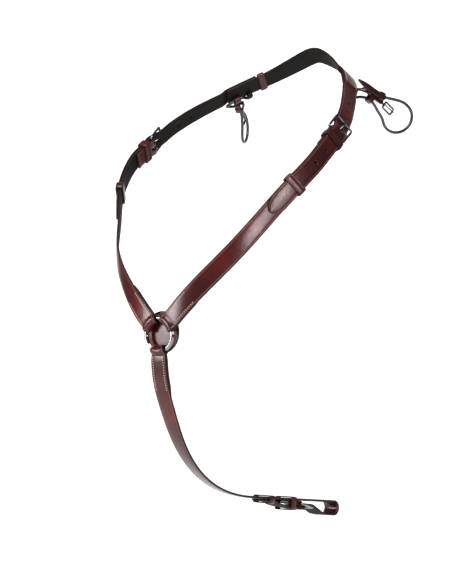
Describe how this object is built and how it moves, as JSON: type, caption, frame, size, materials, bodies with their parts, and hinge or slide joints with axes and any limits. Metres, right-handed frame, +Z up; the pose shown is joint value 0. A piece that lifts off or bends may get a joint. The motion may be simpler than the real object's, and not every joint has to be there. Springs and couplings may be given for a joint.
{
  "type": "martingale",
  "caption": "Leather riding martingale: steel chest ring on a leather disc, buckled shoulder straps, wither strap with rolled lacet loops, and a girth strap ending in a buckled loop",
  "frame": {"origin": "the inner face of the wither strap at the top of the neck, on the middle line, where the wither strap rests on the horse", "axes": "+X to the horse's left, -Y the way the horse faces, +Z up"},
  "size_m": [0.345, 0.4066, 0.6749],
  "materials": {
    "bridle_leather": "glossy",
    "rolled_leather": "satin",
    "polished_steel": "polished"
  },
  "bodies": {
    "harness": {"backing_disc": "bridle_leather", "wither_strap": "bridle_leather", "shoulder_strap_left": "bridle_leather", "billet_left": "bridle_leather", "buckle_frame_left": "polished_steel", "fixed_keeper_left": "bridle_leather", "wither_keeper_left": "bridle_leather", "lacet_tab_left": "bridle_leather", "shoulder_strap_right": "bridle_leather", "billet_right": "bridle_leather", "buckle_frame_right": "polished_steel", "fixed_keeper_right": "bridle_leather", "wither_keeper_right": "bridle_leather", "lacet_tab_right": "bridle_leather"},
    "ring": {"chest_ring": "polished_steel"},
    "girth": {"girth_strap": "bridle_leather", "girth_chape": "bridle_leather", "buckle_frame_girth": "polished_steel", "fixed_keeper_girth": "bridle_leather"},
    "tongue_left": {"buckle_tongue_left": "polished_steel"},
    "keeper_left": {"running_keeper_left": "bridle_leather"},
    "lacet_left": {"lacet_cord_left": "rolled_leather", "lacet_point_left": "bridle_leather", "lacet_chape_left": "bridle_leather", "lacet_keeper_lower_left": "bridle_leather", "lacet_keeper_upper_left": "bridle_leather", "lacet_frame_left": "polished_steel"},
    "lacet_tongue_body_left": {"lacet_tongue_left": "polished_steel"},
    "tongue_right": {"buckle_tongue_right": "polished_steel"},
    "keeper_right": {"running_keeper_right": "bridle_leather"},
    "lacet_right": {"lacet_cord_right": "rolled_leather", "lacet_point_right": "bridle_leather", "lacet_chape_right": "bridle_leather", "lacet_keeper_lower_right": "bridle_leather", "lacet_keeper_upper_right": "bridle_leather", "lacet_frame_right": "polished_steel"},
    "lacet_tongue_body_right": {"lacet_tongue_right": "polished_steel"},
    "tongue_girth": {"buckle_tongue_girth": "polished_steel"},
    "keeper_girth": {"running_keeper_girth": "bridle_leather"}
  },
  "joints": [
    {"name": "chest_ring_turn", "type": "hinge", "parent": "harness", "child": "ring", "pos_m": [0, -0.35735, -0.40204], "axis": [0, 1, 0], "continuous": true},
    {"name": "girth_strap_swing", "type": "hinge", "parent": "harness", "child": "girth", "pos_m": [0, -0.35735, -0.42404], "axis": [1, 0, 0], "range_deg": [-12, 8]},
    {"name": "buckle_tongue_left_lift", "type": "hinge", "parent": "harness", "child": "tongue_left", "pos_m": [0.15799, -0.17802, -0.1344], "axis": [0.3264, 0.5965, -0.7332], "range_deg": [0, 8]},
    {"name": "running_keeper_left_slide", "type": "slide", "parent": "harness", "child": "keeper_left", "axis": [0.3565, 0.612, 0.7059], "range_m": [-0.006, 0.006]},
    {"name": "lacet_left_swing", "type": "hinge", "parent": "harness", "child": "lacet_left", "pos_m": [0.09728, -0.05597, -0.0617], "axis": [0.5556, -0.7082, -0.4357], "range_deg": [-20, 4]},
    {"name": "lacet_tongue_left_lift", "type": "hinge", "parent": "lacet_left", "child": "lacet_tongue_body_left", "pos_m": [0.12493, -0.00995, -0.07894], "axis": [-0.2149, -0.577, -0.788], "range_deg": [0, 35]},
    {"name": "buckle_tongue_right_lift", "type": "hinge", "parent": "harness", "child": "tongue_right", "pos_m": [-0.15799, -0.17802, -0.1344], "axis": [0.3264, -0.5965, 0.7332], "range_deg": [0, 8]},
    {"name": "running_keeper_right_slide", "type": "slide", "parent": "harness", "child": "keeper_right", "axis": [-0.3565, 0.612, 0.7059], "range_m": [-0.006, 0.006]},
    {"name": "lacet_right_swing", "type": "hinge", "parent": "harness", "child": "lacet_right", "pos_m": [-0.09728, -0.05597, -0.0617], "axis": [0.5556, 0.7082, 0.4357], "range_deg": [-20, 4]},
    {"name": "lacet_tongue_right_lift", "type": "hinge", "parent": "lacet_right", "child": "lacet_tongue_body_right", "pos_m": [-0.12493, -0.00995, -0.07894], "axis": [-0.2149, 0.577, 0.788], "range_deg": [0, 35]},
    {"name": "buckle_tongue_girth_lift", "type": "hinge", "parent": "girth", "child": "tongue_girth", "pos_m": [-0.00001, -0.05349, -0.64173], "axis": [-1, 0.0002, 0.0018], "range_deg": [0, 8]},
    {"name": "running_keeper_girth_slide", "type": "slide", "parent": "girth", "child": "keeper_girth", "axis": [0, 0.9966, -0.0818], "range_m": [-0.008, 0.001]}
  ]
}
